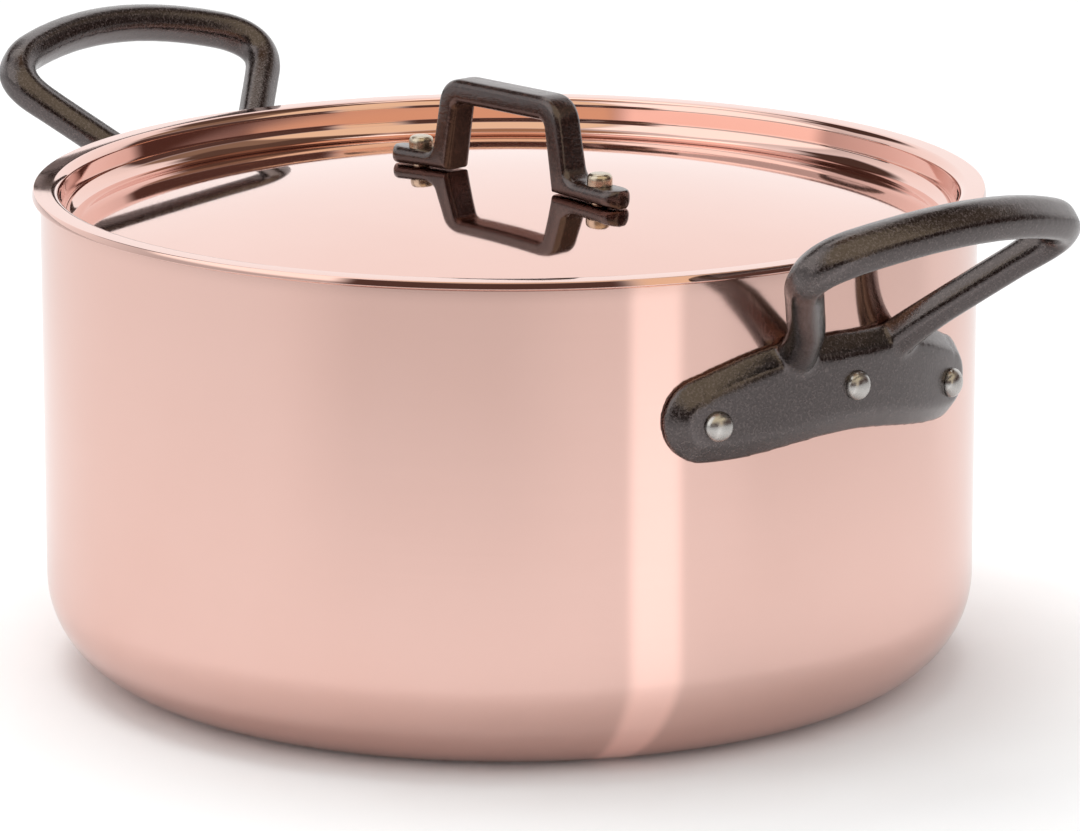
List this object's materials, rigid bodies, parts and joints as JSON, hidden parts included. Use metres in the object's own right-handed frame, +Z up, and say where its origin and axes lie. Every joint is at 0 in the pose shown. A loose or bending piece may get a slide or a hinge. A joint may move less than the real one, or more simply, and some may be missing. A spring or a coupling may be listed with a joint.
{
  "type": "copper stewpot with lid",
  "caption": "Round copper cooking pot lined with stainless steel, with riveted cast-iron loop handles on its sides and a lift-off domed lid with a bracket handle.",
  "frame": {"origin": "centre of the base, on the surface that the pot stands on", "axes": "+Z up, +X towards the right side handle, +Y along the wall away from the viewer's side of that handle"},
  "size_m": [0.3408, 0.2484, 0.1527],
  "materials": {
    "copper": "polished copper with a faint brushed grain",
    "lining_steel": "satin stainless steel",
    "cast_iron": "dark oiled casting, slightly grainy, semi-gloss",
    "lid_iron": "dark oiled casting, slightly brown, semi-gloss",
    "rivet_steel": "bright pressed rivet head"
  },
  "bodies": {
    "pot": {"copper_body": "copper", "steel_lining": "lining_steel", "right_handle": "cast_iron", "right_rivet_front": "rivet_steel", "right_rivet_middle": "rivet_steel", "right_rivet_rear": "rivet_steel", "left_handle": "cast_iron", "left_rivet_front": "rivet_steel", "left_rivet_middle": "rivet_steel", "left_rivet_rear": "rivet_steel"},
    "lid": {"lid_shell": "copper", "lid_lining": "lining_steel", "lid_handle": "lid_iron", "lid_rivet_left": "rivet_steel", "lid_rivet_right": "rivet_steel"}
  },
  "joints": [
    {"name": "lid_lift", "type": "slide", "parent": "pot", "child": "lid", "axis": [0, 0, 1], "range_m": [0, 0.15]}
  ]
}
